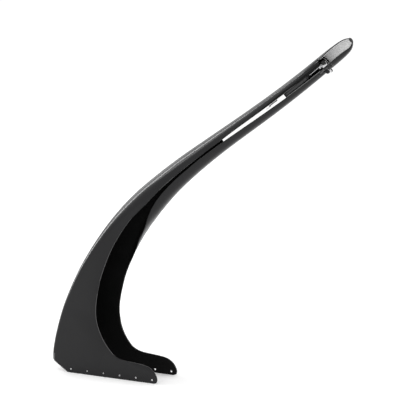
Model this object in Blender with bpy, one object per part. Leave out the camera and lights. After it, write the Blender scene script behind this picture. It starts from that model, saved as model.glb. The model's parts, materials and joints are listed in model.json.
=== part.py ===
"""Swan-neck composite arm with a bolt-on saddle foot and a hinged tip.

The arm stands on the X-Y plane and leans towards +X. Its foot is a channel with two flat cheeks at
-Y and +Y, open below and towards +X. Further up the channel closes to a tube with one long slit on
the -Y side. A hinged tip on the arm's end is worked by a strut that lies in the slit.
Sizes are in metres.
"""

from math import atan2, comb, cos, degrees, pi, radians, sin, sqrt

import bmesh
import bpy
from mathutils import Matrix, Vector

# Overall sizes: the middle of the arm's end, seen from the side.
REACH = 0.754
RISE = 0.925

# Foot.
FOOT_WIDTH = 0.110
FOOT_LENGTH = 0.267
HOLE_COUNT = 6
HOLE_PITCH = 0.050
HOLE_DIAMETER = 0.0055
HOLE_INSET = 0.010
HOLE_HEIGHT = 0.0095

# Arm section.
WALL = 0.003
NECK_DEPTH = 0.118
END_RADIUS = 0.0230
TIP_WALL = 0.0022

# Clearances.
GAP = 0.0003
BOND_GAP = 0.0006
RUNNING_GAP = 0.0005
SEAM_GAP = 0.0008
SLIT_GAP = 0.0004

# Label strip, as shares of the neck's length. It lies in the slit between the two lips.
STRIP_THICKNESS = 0.0015
STRIP_SINK = 0.0004
STRIP_START = 0.646
STRIP_END = 0.866

# Bright edging along the lower lip.
TRIM_WIDTH = 0.0011
TRIM_START_X = -0.141
TRIM_END_X = -0.012

# Strut, in the end frame: x along the arm, y across it, z away from the hollow of the bend.
STRUT_RADIUS = 0.0098
STRUT_CLEARANCE = 0.0002
STRUT_Y = -(END_RADIUS - WALL - STRUT_CLEARANCE - STRUT_RADIUS)
STRUT_Z = 0.0
STRUT_LENGTH = 0.083
STRUT_REAR_X = -0.143
STRUT_FRONT_X = STRUT_REAR_X + STRUT_LENGTH
STRUT_CHAMFER = 0.0012
GLAND_LENGTH = 0.009
ROD_RADIUS = 0.002
ROD_IN_STRUT = 0.028
ROD_TAIL_GAP = 0.001
SADDLE_LENGTH = 0.022
SADDLE_LIP = 0.002

# Hinge, in the end frame. Its axis lies below the arm's round outside by HINGE_DROP.
HINGE_DROP = 0.0018
HINGE_Z = -(END_RADIUS + HINGE_DROP)
BOLT_RADIUS = 0.002
BUSH_WALL = 0.001
KNUCKLE_WALL = 0.0015
KNUCKLE_RADIUS = BOLT_RADIUS + BUSH_WALL + GAP + KNUCKLE_WALL
KNUCKLE_WIDTH = 0.004
TIP_KNUCKLE_HALF = 0.0045
WASHER_THICKNESS = 0.001
BOLT_HEAD_RADIUS = 0.0042
BOLT_HEAD_LENGTH = 0.003
BOLT_NUT_LENGTH = 0.0026
BOLT_THREAD_OUT = 0.0008
LUG_INNER = TIP_KNUCKLE_HALF + WASHER_THICKNESS + RUNNING_GAP
LUG_OUTER = LUG_INNER + KNUCKLE_WIDTH

# Hinge blocks and the pocket that the knuckles stand in.
BLOCK_THICKNESS = 0.004
BLOCK_LENGTH = 0.026
BLOCK_HALF_ANGLE = 52
POCKET_CLEARANCE = 0.001
POCKET_TOP_Z = -(END_RADIUS - WALL - BOND_GAP - BLOCK_THICKNESS - 2 * POCKET_CLEARANCE)

# Screws that hold the blocks, in pairs below the arm and the tip.
SCREW_RADIUS = 0.002
SCREW_HEAD_RADIUS = 0.0035
SCREW_HEAD_HEIGHT = 0.0014
ARM_SCREW_X = -0.022
TIP_SCREW_X = 0.022
SCREW_ANGLE = 38

# Rod end, pin and crank.
CRANK_PIN_X = -0.009
CRANK_PIN_RADIUS = 0.0018
CRANK_PIN_HEAD = 0.0012
CRANK_THICKNESS = 0.003
CRANK_BOSS_RADIUS = 0.004
CRANK_FOOT_X = 0.011
CRANK_LIFT = 0.0009
CRANK_ELBOW_Z = POCKET_TOP_Z + CRANK_LIFT
ROD_END_RADIUS = 0.0042
ROD_END_THICKNESS = 0.005
ROD_END_PLAY = 0.0018
ROD_END_NECK = 0.008
ROD_END_START_X = CRANK_PIN_X - ROD_END_RADIUS - ROD_END_NECK
ROD_FRONT_X = ROD_END_START_X + ROD_END_NECK * 0.75
CRANK_Y = STRUT_Y + ROD_END_THICKNESS / 2 + RUNNING_GAP + CRANK_THICKNESS / 2

# Tip, its bright liner and its dark beak.
TIP_LENGTH = 0.109
LINER_THICKNESS = 0.0012
LINER_SHORT = 0.001
LINER_END = 0.94
ARM_SHEET_RADIUS = END_RADIUS - WALL - BOND_GAP - BLOCK_THICKNESS / 2
TIP_SHEET_RADIUS = END_RADIUS - TIP_WALL - LINER_THICKNESS - 2 * BOND_GAP - BLOCK_THICKNESS / 2
CAP_LENGTH = 0.0035
CAP_RISE = 0.0015

# Rubber stops.
BUFFER_LENGTH = 0.009
BUFFER_HEIGHT = 0.008
BUFFER_WIDTH = 0.007
BUFFER_BEVEL = 0.0012
BUFFER_FOOT_Z = 0.003
BUFFER_SIDE_Y = STRUT_Y - ROD_END_THICKNESS / 2 - GAP - CRANK_PIN_HEAD - RUNNING_GAP
ARM_BUFFER_X = -0.007

ROUND_SEGMENTS = 24
SMALL_SEGMENTS = 16
CORNER_STEPS = 5
SIDE_STEPS = 5
CUT_OVERRUN = 0.0015
SMOOTH_ANGLE = radians(32)


# ---------------------------------------------------------------- materials

def material(name, colour, roughness, metallic=0.0):
    made = bpy.data.materials.new(name)
    made.use_nodes = True
    shader = made.node_tree.nodes["Principled BSDF"]
    shader.inputs["Base Color"].default_value = (*colour, 1.0)
    shader.inputs["Roughness"].default_value = roughness
    shader.inputs["Metallic"].default_value = metallic
    return made


# ---------------------------------------------------------------- mesh helpers

def clear_scene():
    for old in list(bpy.data.objects):
        bpy.data.objects.remove(old, do_unlink=True)


def finish_mesh(name, bm, look):
    """Turns a bmesh into a named object whose faces point out."""
    bmesh.ops.recalc_face_normals(bm, faces=bm.faces)
    mesh = bpy.data.meshes.new(name)
    bm.to_mesh(mesh)
    bm.free()
    made = bpy.data.objects.new(name, mesh)
    bpy.context.scene.collection.objects.link(made)
    mesh.materials.append(look)
    mesh.shade_smooth()
    mesh.set_sharp_from_angle(angle=SMOOTH_ANGLE)
    return made


def as_cutter(made):
    made.hide_render = True
    made.display_type = "WIRE"
    return made


def boolean(target, tool, operation):
    step = target.modifiers.new(tool.name, "BOOLEAN")
    step.operation = operation
    step.object = as_cutter(tool)


def carry(made, matrix):
    """Moves a piece's mesh, and the meshes of its cutters, from the end frame to the world."""
    for item in [made] + [step.object for step in made.modifiers]:
        item.data.transform(matrix)
    return made


def ride_on(name, place, pieces):
    """Hangs the pieces that move together on an empty that stands on their joint's axis."""
    axis = bpy.data.objects.new(name, None)
    bpy.context.scene.collection.objects.link(axis)
    axis.matrix_world = place
    for piece in pieces:
        piece.parent = axis
        piece.matrix_parent_inverse = place.inverted()


def cylinder(name, look, centre, axis, radius, length, segments=ROUND_SEGMENTS):
    """A plain round bar about its centre, along a unit axis."""
    bm = bmesh.new()
    bmesh.ops.create_cone(bm, cap_ends=True, segments=segments, radius1=radius, radius2=radius, depth=length)
    turn = Vector((0, 0, 1)).rotation_difference(Vector(axis)).to_matrix().to_4x4()
    bmesh.ops.transform(bm, matrix=Matrix.Translation(centre) @ turn, verts=bm.verts)
    return finish_mesh(name, bm, look)


def turned(name, look, centre, axis, profile, segments=ROUND_SEGMENTS):
    """A solid turned about its axis from (distance along the axis, radius) points."""
    bm = bmesh.new()
    rows = []
    for along, radius in profile:
        row = []
        for k in range(segments):
            angle = 2 * pi * k / segments
            row.append(bm.verts.new((radius * cos(angle), radius * sin(angle), along)))
        rows.append(row)
    for low, high in zip(rows, rows[1:]):
        for k in range(segments):
            after = (k + 1) % segments
            bm.faces.new((low[k], low[after], high[after], high[k]))
    bm.faces.new(rows[0])
    bm.faces.new(rows[-1])
    turn = Vector((0, 0, 1)).rotation_difference(Vector(axis)).to_matrix().to_4x4()
    bmesh.ops.transform(bm, matrix=Matrix.Translation(centre) @ turn, verts=bm.verts)
    return finish_mesh(name, bm, look)


def box(name, look, low, high, bevel=0.0):
    """A block between two corners, with its edges rounded by one bevel."""
    bm = bmesh.new()
    bmesh.ops.create_cube(bm, size=1.0)
    for vert in bm.verts:
        vert.co = Vector([low[k] + (vert.co[k] + 0.5) * (high[k] - low[k]) for k in range(3)])
    if bevel:
        bmesh.ops.bevel(bm, geom=bm.edges, offset=bevel, segments=2, profile=0.5, affect="EDGES")
    return finish_mesh(name, bm, look)


def prism(name, look, outline, low_y, high_y):
    """A plate with an (x, z) outline between two places across the arm."""
    bm = bmesh.new()
    base = [bm.verts.new((x, low_y, z)) for x, z in outline]
    face = bm.faces.new(base)
    grown = bmesh.ops.extrude_face_region(bm, geom=[face])
    moved = [item for item in grown["geom"] if isinstance(item, bmesh.types.BMVert)]
    bmesh.ops.translate(bm, vec=(0, high_y - low_y, 0), verts=moved)
    return finish_mesh(name, bm, look)


def even(low, high, steps):
    return [low + (high - low) * k / steps for k in range(steps + 1)]


def arc_points(centre, radius, start, end, steps):
    """Points on an arc in the (x, z) plane, angles in degrees."""
    points = []
    for angle in even(radians(start), radians(end), steps):
        points.append((centre[0] + radius * cos(angle), centre[1] + radius * sin(angle)))
    return points


# ---------------------------------------------------------------- section

class Station:
    """One cross-section of the arm.

    spine is the (x, z) point at the back of the section and front the one across from it. near_lip and
    far_lip are how far each lip stops short of the front's middle, measured round the outline. A lip
    that goes past the middle has a negative value. roll is how far the near lip is turned inwards.
    """

    def __init__(self, spine, front, half_width, back_radius, front_radius, near_lip, far_lip, roll=0.0):
        self.spine = Vector(spine)
        across = Vector(front) - self.spine
        self.depth = across.length
        self.across = across.normalized()
        self.half_width = half_width
        self.back_radius = back_radius
        self.front_radius = front_radius
        self.back_flat = half_width - back_radius
        self.front_flat = half_width - front_radius
        self.back_arc = back_radius * pi / 2
        self.front_arc = front_radius * pi / 2
        self.side = self.depth - back_radius - front_radius
        self.half = self.back_flat + self.back_arc + self.side + self.front_arc + self.front_flat
        self.near_end = -(self.half - near_lip)
        self.far_end = self.half - far_lip
        self.roll = roll
        self.near_lip = near_lip
        self.far_lip = far_lip

    def front(self):
        return self.spine + self.across * self.depth

    def flat_point(self, s, inset):
        """(depth, width) of the outline at s, moved inwards by inset. s is 0 at the spine."""
        side = 1 if s >= 0 else -1
        run = abs(s)
        if run > self.half:
            run = 2 * self.half - run
            side = -side
        if run <= self.back_flat:
            return inset, side * run
        run -= self.back_flat
        if run <= self.back_arc:
            angle = run / self.back_radius
            reach = self.back_radius - inset
            deep = self.back_radius - reach * cos(angle)
            return deep, side * (self.back_flat + reach * sin(angle))
        run -= self.back_arc
        if run <= self.side:
            return self.back_radius + run, side * (self.half_width - inset)
        run -= self.side
        if run <= self.front_arc:
            angle = run / self.front_radius
            reach = self.front_radius - inset
            deep = self.depth - self.front_radius + reach * sin(angle)
            return deep, side * (self.front_flat + reach * cos(angle))
        run -= self.front_arc
        return self.depth - inset, side * max(self.front_flat - run, 0.0)

    def roll_at(self, s):
        """How far the near cheek has rolled inwards at s. It starts ROLL_REACH before the near lip."""
        run = self.near_end + ROLL_REACH - s
        return self.roll * (run / ROLL_REACH) ** 2 if s < 0 and run > 0 else 0.0

    def point(self, s, inset):
        deep, wide = self.flat_point(s, inset)
        wide += self.roll_at(s)
        place = self.spine + self.across * deep
        return Vector((place.x, wide, place.y))

    def ring_places(self):
        """Places round the outline from lip to lip, with points kept at the back's two corners."""
        turn_start = self.back_flat
        turn_end = self.back_flat + self.back_arc
        places = even(self.near_end, -turn_end, SIDE_STEPS)
        places += even(-turn_end, -turn_start, CORNER_STEPS)[1:]
        places.append(0.0)
        places += even(turn_start, turn_end, CORNER_STEPS)
        places += even(turn_end, self.far_end, 2 * SIDE_STEPS)[1:]
        return places


def loft(rows):
    """Joins equal closed rings of points into a sleeve, open at both ends."""
    bm = bmesh.new()
    rings = [[bm.verts.new(place) for place in row] for row in rows]
    count = len(rings[0])
    for low, high in zip(rings, rings[1:]):
        for k in range(count):
            after = (k + 1) % count
            bm.faces.new((low[k], low[after], high[after], high[k]))
    return bm, rings


def close_strip_end(bm, ring, flip):
    """Fills the end of a strip, whose ring runs along the outside and back along the inside."""
    half = len(ring) // 2
    for k in range(half - 1):
        quad = (ring[k], ring[k + 1], ring[-2 - k], ring[-1 - k])
        bm.faces.new(quad[::-1] if flip else quad)


def strip(name, look, stations, span, outer_inset, inner_inset):
    """A curved sheet that follows the arm's outline. span(station) gives its places round it."""
    rows = []
    for station in stations:
        places = span(station)
        outside = [station.point(s, outer_inset) for s in places]
        inside = [station.point(s, inner_inset) for s in reversed(places)]
        rows.append(outside + inside)
    bm, rings = loft(rows)
    close_strip_end(bm, rings[0], False)
    close_strip_end(bm, rings[-1], True)
    return finish_mesh(name, bm, look)


def plug(name, look, stations, inset, segments=32):
    """A solid that fills the arm's outline, moved inwards by inset."""
    rows = []
    for station in stations:
        places = [-station.half + 2 * station.half * k / segments for k in range(segments)]
        rows.append([station.point(s, inset) for s in places])
    bm, rings = loft(rows)
    bm.faces.new(rings[0])
    bm.faces.new(rings[-1])
    return finish_mesh(name, bm, look)


def smooth_value(table, s):
    """Reads a table of (s, value) pairs as a smooth curve."""
    if s <= table[0][0]:
        return table[0][1]
    for k in range(len(table) - 1):
        s0, v0 = table[k]
        s1, v1 = table[k + 1]
        if s <= s1:
            break
    else:
        return table[-1][1]
    before = table[max(k - 1, 0)]
    after = table[min(k + 2, len(table) - 1)]
    span = s1 - s0
    slope0 = (v1 - before[1]) / (s1 - before[0])
    slope1 = (after[1] - v0) / (after[0] - s0)
    u = (s - s0) / span
    rise = v0 * (1 + 2 * u) * (1 - u) ** 2 + v1 * u * u * (3 - 2 * u)
    return rise + span * (slope0 * u * (1 - u) ** 2 - slope1 * u * u * (1 - u))


# ---------------------------------------------------------------- the arm's shape

# Foot, from the bottom up: how far the spine and the front edge stand from the foot's back bottom
# corner, and how far the near lip stops short of the front corner.
TOE = FOOT_LENGTH
FOOT_RIBS = [
    ((-0.0460, 0.0000), (TOE, 0.0000), 0.0),
    ((-0.0465, 0.0080), (TOE + 0.0075, 0.0030), 0.0),
    ((-0.0470, 0.0160), (TOE + 0.0105, 0.0100), 0.0),
    ((-0.0475, 0.0260), (TOE + 0.0087, 0.0195), 0.0),
    ((-0.0478, 0.0360), (TOE + 0.0005, 0.0325), 0.0),
    ((-0.0478, 0.0440), (TOE - 0.0115, 0.0415), 0.0),
    ((-0.0474, 0.0520), (TOE - 0.0280, 0.0472), 0.0),
    ((-0.0466, 0.0600), (TOE - 0.0610, 0.0505), 0.0),
    ((-0.0452, 0.0690), (0.1740, 0.0530), 0.0),
    ((-0.0432, 0.0800), (0.1520, 0.0590), 0.0),
    ((-0.0405, 0.0940), (0.1310, 0.0725), 0.001),
    ((-0.0365, 0.1120), (0.1145, 0.0925), 0.003),
    ((-0.0295, 0.1370), (0.1035, 0.1220), 0.007),
]
HEEL_CUT = ((0.0, 0.0), (-0.0395, 0.0260))
HEEL_ROUND = 0.022
FOOT_BACK_RADIUS = 0.009
FOOT_FRONT_RADIUS = 0.0001
FOOT_STEPS = 2
FAIR_REACH = 6
FAIR_ROUNDS = 6
NECK_START = (0.0395, 0.1665)

# Neck: control points of the centre line, as shares of the way from the neck's start to the end.
NECK_SHAPE = [(0.0, 0.0), (0.073, 0.263), (0.273, 0.530), (0.538, 0.637), (0.775, 0.817), (1.0, 1.0)]
NECK_RIBS = 30
FINE_UNTIL = 0.16
FINE_RIBS = 9

# Section along the neck, as (share of its length, value). Width and depth run from 1 at the foot, where
# they are the foot's, to 0 at the end, where they are the round end's.
WIDTH_SHARE = [(0, 1), (0.08, 0.97), (0.143, 0.91), (0.205, 0.81), (0.29, 0.655), (0.35, 0.56),
               (0.41, 0.42), (0.48, 0.29), (0.63, 0.13), (0.78, 0.062), (1, 0)]
DEPTH_SHARE = [(0, 1), (0.03, 0.89), (0.08, 0.765), (0.143, 0.655), (0.205, 0.612), (0.29, 0.585),
               (0.35, 0.527), (0.41, 0.40), (0.48, 0.287), (0.63, 0.115), (0.78, 0.058), (1, 0)]
BACK_ROUND = [(0, 0.17), (0.08, 0.24), (0.143, 0.36), (0.205, 0.5), (0.29, 0.74), (0.35, 0.9), (0.45, 1)]
FRONT_ROUND = [(0, 0.02), (0.08, 0.08), (0.143, 0.22), (0.205, 0.45), (0.29, 0.76), (0.35, 0.92), (0.45, 1)]
NEAR_LIP = [(0, 0.070), (0.08, 0.076), (0.143, 0.078), (0.205, 0.078), (0.29, 0.071), (0.35, 0.060),
            (0.41, 0.054), (0.48, 0.048), (0.63, 0.0415), (0.78, 0.0440), (0.87, 0.0470), (1, 0.0520)]
FAR_LIP = [(0, 0.0556), (0.08, 0.055), (0.143, 0.050), (0.18, 0.040), (0.22, 0.022), (0.26, 0.002),
           (0.30, -0.018), (0.34, -0.034), (0.38, -0.041), (0.43, -0.042), (0.48, -0.041),
           (0.63, -0.035), (0.78, -0.030), (0.87, -0.0265), (1, -0.0222)]
NEAR_ROLL = [(0, 0), (0.06, 0.0015), (0.12, 0.004), (0.18, 0.006), (0.24, 0.006), (0.30, 0.003), (0.36, 0)]
ROLL_REACH = 0.036
FULL_ROUND = 0.995


def neck_point(u):
    """The centre line and its direction at u, from 0 at the foot to 1 at the end."""
    degree = len(NECK_SHAPE) - 1
    size = Vector((REACH - NECK_START[0], RISE - NECK_START[1]))
    control = [Vector((NECK_START[0] + size.x * a, NECK_START[1] + size.y * b)) for a, b in NECK_SHAPE]
    place = Vector((0, 0))
    slope = Vector((0, 0))
    for k, corner in enumerate(control):
        place += comb(degree, k) * u**k * (1 - u) ** (degree - k) * corner
    for k in range(degree):
        step = control[k + 1] - control[k]
        slope += comb(degree - 1, k) * u**k * (1 - u) ** (degree - 1 - k) * step
    return place, slope.normalized()


def neck_station(u):
    """The section at u. Its size tables run along the neck's length, which u follows closely."""
    centre, along = neck_point(u)
    across = Vector((along.y, -along.x))
    half_width = END_RADIUS + (FOOT_WIDTH / 2 - END_RADIUS) * smooth_value(WIDTH_SHARE, u)
    depth = 2 * END_RADIUS + (NECK_DEPTH - 2 * END_RADIUS) * smooth_value(DEPTH_SHARE, u)
    largest = min(half_width, depth / 2)
    back = largest * min(smooth_value(BACK_ROUND, u), FULL_ROUND)
    front = largest * min(smooth_value(FRONT_ROUND, u), FULL_ROUND)
    spine = centre - across * depth / 2
    return Station(spine, spine + across * depth, half_width, back, front,
                   smooth_value(NEAR_LIP, u), smooth_value(FAR_LIP, u), smooth_value(NEAR_ROLL, u))


def foot_station(spine, front, near_short):
    """A section of the foot, whose lips end at the front corners of the channel."""
    corner = FOOT_WIDTH / 2
    return Station(spine, front, corner, FOOT_BACK_RADIUS, FOOT_FRONT_RADIUS, corner + near_short, corner)


def foot_stations():
    """Sections of the foot, read along smooth curves through its ribs up to the neck's first section."""
    top = neck_station(0.0)
    top_front = top.spine + top.across * top.depth
    rows = [(*spine, *front, near_short) for spine, front, near_short in FOOT_RIBS]
    rows.append((*top.spine, *top_front, smooth_value(NEAR_LIP, 0.0) - FOOT_WIDTH / 2))
    columns = [[(k, row[column]) for k, row in enumerate(rows)] for column in range(len(rows[0]))]
    made = []
    for step in range(FOOT_STEPS * (len(rows) - 1)):
        read = [smooth_value(column, step / FOOT_STEPS) for column in columns]
        made.append(foot_station(read[:2], read[2:4], read[4]))
    return made


def faired(stations, first, last):
    """Evens out the sections where the foot meets the neck, by moving each towards its neighbours."""
    for _ in range(FAIR_ROUNDS):
        for k in range(first, last):
            before, here, after = stations[k - 1], stations[k], stations[k + 1]
            spine = (before.spine + 2 * here.spine + after.spine) / 4
            front = (before.front() + 2 * here.front() + after.front()) / 4
            near_lip = (before.near_lip + 2 * here.near_lip + after.near_lip) / 4
            stations[k] = Station(spine, front, here.half_width, here.back_radius, here.front_radius,
                                  near_lip, here.far_lip, here.roll)
    return stations


def arm_stations(last):
    """Sections of the whole arm, up to a share of the neck. The first neck sections stand closer."""
    foot = foot_stations()
    shares = even(0.0, FINE_UNTIL, FINE_RIBS) + even(FINE_UNTIL, last, NECK_RIBS)[1:]
    stations = foot + [neck_station(u) for u in shares]
    return faired(stations, len(foot) - FAIR_REACH, len(foot) + FAIR_REACH)


def end_frame():
    """Matrix from the end frame to the world."""
    place, along = neck_point(1.0)
    return Matrix((
        (along.x, 0, -along.y, place.x),
        (0, 1, 0, 0),
        (along.y, 0, along.x, place.y),
        (0, 0, 0, 1),
    ))


def share_at(x):
    """The share of the neck at x in the end frame, for places near the end."""
    low, high = 0.5, 1.0
    matrix = end_frame().inverted()
    for _ in range(40):
        middle = (low + high) / 2
        place, _along = neck_point(middle)
        if (matrix @ Vector((place.x, 0, place.y))).x < x:
            low = middle
        else:
            high = middle
    return low


def neck_between(low_x, high_x, steps):
    """Sections between two places in the end frame."""
    low, high = share_at(low_x), share_at(high_x)
    return [neck_station(u) for u in even(low, high, steps)]


# Tip sections: share of its length; lowest z, highest z and half width in end radii; and the angles of
# the opening's lower and upper edges below the -Y direction.
TIP_RIBS = [
    (0.00, -1.000, 1.000, 1.000, 30, -40),
    (0.18, -0.995, 0.990, 0.990, 29, -46),
    (0.36, -0.985, 0.965, 0.965, 28, -54),
    (0.53, -0.965, 0.925, 0.920, 28, -64),
    (0.66, -0.930, 0.880, 0.860, 28, -76),
    (0.76, -0.875, 0.825, 0.790, 31, -90),
    (0.83, -0.800, 0.765, 0.720, 38, -102),
    (0.89, -0.680, 0.690, 0.630, 48, -114),
    (0.945, -0.510, 0.590, 0.510, 58, -124),
    (1.00, -0.260, 0.460, 0.360, 66, -130),
]


def tip_table(column):
    return [(row[0] * TIP_LENGTH, row[column]) for row in TIP_RIBS]


def tip_station(x):
    """A section of the tip, in the end frame's (x, z)."""
    low = END_RADIUS * smooth_value(tip_table(1), x)
    high = END_RADIUS * smooth_value(tip_table(2), x)
    half_width = END_RADIUS * smooth_value(tip_table(3), x)
    radius = min(half_width, (high - low) / 2)
    lower = smooth_value(tip_table(4), x)
    upper = smooth_value(tip_table(5), x)
    near_lip = radius * radians(90 - upper)
    far_lip = -radius * radians(90 - lower)
    round_part = radius * FULL_ROUND
    return Station((x, high), (x, low), half_width, round_part, round_part, near_lip, far_lip)


def tip_stations(low, high, steps):
    return [tip_station(x) for x in even(low, high, steps)]


# ---------------------------------------------------------------- cutters

ALONG = Vector((1, 0, 0))
ACROSS = Vector((0, 1, 0))


def cheek_holes(look):
    """The row of bolt holes, which runs through both cheeks of the foot."""
    bm = bmesh.new()
    turn = Matrix.Rotation(pi / 2, 4, "X")
    radius = HOLE_DIAMETER / 2
    for k in range(HOLE_COUNT):
        place = Matrix.Translation((HOLE_INSET + k * HOLE_PITCH, 0, HOLE_HEIGHT))
        bmesh.ops.create_cone(bm, cap_ends=True, segments=SMALL_SEGMENTS, radius1=radius, radius2=radius,
                              depth=FOOT_WIDTH * 1.2, matrix=place @ turn)
    return finish_mesh("cheek_hole_cutter", bm, look)


def heel_cutter(look):
    """The slanted lower back corner of the foot, which meets the spine in a round."""
    toe_side, spine_side = HEEL_CUT
    slant = atan2(spine_side[1] - toe_side[1], toe_side[0] - spine_side[0])
    turn_centre = (spine_side[0] + HEEL_ROUND * sin(slant), spine_side[1] + HEEL_ROUND * cos(slant))
    outline = [(toe_side[0] + CUT_OVERRUN, -CUT_OVERRUN), toe_side, spine_side]
    outline += arc_points(turn_centre, HEEL_ROUND, -90 - degrees(slant), -180, 6)[1:]
    behind = FOOT_RIBS[0][0][0] - HEEL_ROUND
    outline += [(behind, outline[-1][1]), (behind, -HEEL_ROUND), (toe_side[0] + CUT_OVERRUN, -HEEL_ROUND)]
    return prism("heel_cutter", look, outline, -FOOT_WIDTH, FOOT_WIDTH)


def hinge_pocket(name, look):
    """The opening under the seam that the hinge's knuckles, bolt head and nut stand in."""
    half = LUG_OUTER + GAP + BOLT_NUT_LENGTH + BOLT_THREAD_OUT + POCKET_CLEARANCE
    reach = KNUCKLE_RADIUS + POCKET_CLEARANCE
    return box(name, look, (-reach, -half, HINGE_Z - reach), (reach, half, POCKET_TOP_Z))


def hinge_bore(name, look, radius):
    return cylinder(name, look, Vector((0, 0, HINGE_Z)), ACROSS, radius, FOOT_WIDTH)


def screw_axes():
    """Directions of the screws that hold a hinge block, below and to each side of the arm."""
    axes = []
    for angle in (-SCREW_ANGLE, SCREW_ANGLE):
        axes.append(Vector((0, sin(radians(angle)), -cos(radians(angle)))))
    return axes


def screw_holes(name, look, x):
    bm = bmesh.new()
    radius = SCREW_RADIUS + GAP
    for axis in screw_axes():
        turn = Vector((0, 0, 1)).rotation_difference(axis).to_matrix().to_4x4()
        place = Matrix.Translation(Vector((x, 0, 0)) + axis * END_RADIUS)
        bmesh.ops.create_cone(bm, cap_ends=True, segments=SMALL_SEGMENTS, radius1=radius, radius2=radius,
                              depth=END_RADIUS, matrix=place @ turn)
    return finish_mesh(name, bm, look)


# ---------------------------------------------------------------- pieces of the arm

def arm_shell(look, frame):
    stations = arm_stations(share_at(-SEAM_GAP / 2))
    made = strip("arm_shell", look, stations, Station.ring_places, 0.0, WALL)
    boolean(made, heel_cutter(look), "DIFFERENCE")
    boolean(made, cheek_holes(look), "DIFFERENCE")
    boolean(made, carry(hinge_pocket("arm_pocket_cutter", look), frame), "DIFFERENCE")
    boolean(made, carry(screw_holes("arm_screw_cutter", look, ARM_SCREW_X), frame), "DIFFERENCE")
    return made


def slit_start(station, gap):
    """The place round the outline of the slit's lower lip, moved in by a gap."""
    return station.far_end - 2 * station.half + gap


def label_strip(look):
    """The thin plate that closes the lower stretch of the slit, just below the arm's outside."""
    stations = [neck_station(u) for u in even(STRIP_START, STRIP_END, 14)]

    def span(station):
        return even(slit_start(station, SLIT_GAP), station.near_end - SLIT_GAP, 4)

    return strip("label_strip", look, stations, span, STRIP_SINK, STRIP_SINK + STRIP_THICKNESS)


def lip_trim(look):
    """The thin bright edging along the lower lip beside the strut."""

    def span(station):
        return even(slit_start(station, GAP), slit_start(station, GAP) + TRIM_WIDTH, 1)

    return strip("lip_trim", look, neck_between(TRIM_START_X, TRIM_END_X, 10), span, 0.0, WALL)


def strut_place(x):
    """A point on the strut's axis."""
    return Vector((x, STRUT_Y, STRUT_Z))


def strut_body(look, frame):
    r = STRUT_RADIUS
    edge = r - STRUT_CHAMFER
    profile = [(0, edge), (STRUT_CHAMFER, r), (STRUT_LENGTH - STRUT_CHAMFER, r), (STRUT_LENGTH, edge)]
    made = turned("strut_body", look, strut_place(STRUT_REAR_X), ALONG, profile)
    boolean(made, rod_bore("body_bore_cutter", look), "DIFFERENCE")
    return carry(made, frame)


def strut_gland(look, frame):
    """The stepped collar on the strut's front that the rod comes out of."""
    r = STRUT_RADIUS
    shoulder = GLAND_LENGTH * 0.7
    profile = [(GAP, r * 0.92), (shoulder, r * 0.92), (shoulder, r * 0.6), (GLAND_LENGTH, r * 0.5)]
    made = turned("strut_gland", look, strut_place(STRUT_FRONT_X), ALONG, profile)
    boolean(made, rod_bore("gland_bore_cutter", look), "DIFFERENCE")
    return carry(made, frame)


def rod_bore(name, look):
    return cylinder(name, look, strut_place(STRUT_FRONT_X), ALONG, ROD_RADIUS + GAP, 2 * ROD_IN_STRUT,
                    SMALL_SEGMENTS)


def strut_rod(look, frame):
    tail = STRUT_FRONT_X - ROD_IN_STRUT + ROD_TAIL_GAP
    middle = strut_place((tail + ROD_FRONT_X) / 2)
    made = cylinder("strut_rod", look, middle, ALONG, ROD_RADIUS, ROD_FRONT_X - tail, SMALL_SEGMENTS)
    return carry(made, frame)


def rod_end(look, frame):
    """The slotted eye on the rod. The slot lets the crank pin rise as it swings over its middle."""
    low = STRUT_Y - ROD_END_THICKNESS / 2
    high = STRUT_Y + ROD_END_THICKNESS / 2
    made = prism("rod_end", look, slot_outline(ROD_END_RADIUS, 8), low, high)
    neck_radius = ROD_END_THICKNESS * 0.48
    neck_end = CRANK_PIN_X - ROD_END_RADIUS * 0.8
    start = ROD_END_START_X
    neck = cylinder("rod_end_neck", look, strut_place((start + neck_end) / 2), ALONG, neck_radius,
                    neck_end - start, SMALL_SEGMENTS)
    boolean(made, neck, "UNION")
    slot = slot_outline(CRANK_PIN_RADIUS + GAP, 6)
    boolean(made, prism("rod_end_slot", look, slot, low - CUT_OVERRUN, high + CUT_OVERRUN), "DIFFERENCE")
    socket_end = ROD_FRONT_X + GAP
    socket_start = start - CUT_OVERRUN
    socket = cylinder("rod_end_socket", look, strut_place((socket_start + socket_end) / 2), ALONG,
                      ROD_RADIUS + GAP / 2, socket_end - socket_start, SMALL_SEGMENTS)
    boolean(made, socket, "DIFFERENCE")
    return carry(made, frame)


def slot_outline(radius, steps):
    """A slot round the crank pin's place, tall enough for the pin's rise and fall."""
    top = (CRANK_PIN_X, STRUT_Z + ROD_END_PLAY)
    bottom = (CRANK_PIN_X, STRUT_Z - ROD_END_PLAY)
    return arc_points(top, radius, 0, 180, steps) + arc_points(bottom, radius, 180, 360, steps)


def strut_saddle(look, frame):
    """The block inside the arm that the strut lies in. It fills the far half of the tube there."""
    middle = STRUT_REAR_X + STRUT_LENGTH * 0.45
    low = middle - SADDLE_LENGTH / 2
    high = middle + SADDLE_LENGTH / 2
    made = plug("strut_saddle", look, neck_between(low, high, 2), WALL + BOND_GAP)
    seat = cylinder("saddle_seat_cutter", look, strut_place(middle), ALONG, STRUT_RADIUS + GAP,
                    SADDLE_LENGTH * 2)
    boolean(made, carry(seat, frame), "DIFFERENCE")
    open_side = box("saddle_side_cutter", look, (low - CUT_OVERRUN, -FOOT_WIDTH, -FOOT_WIDTH),
                    (high + CUT_OVERRUN, STRUT_Y + SADDLE_LIP, FOOT_WIDTH))
    boolean(made, carry(open_side, frame), "DIFFERENCE")
    return made


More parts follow.
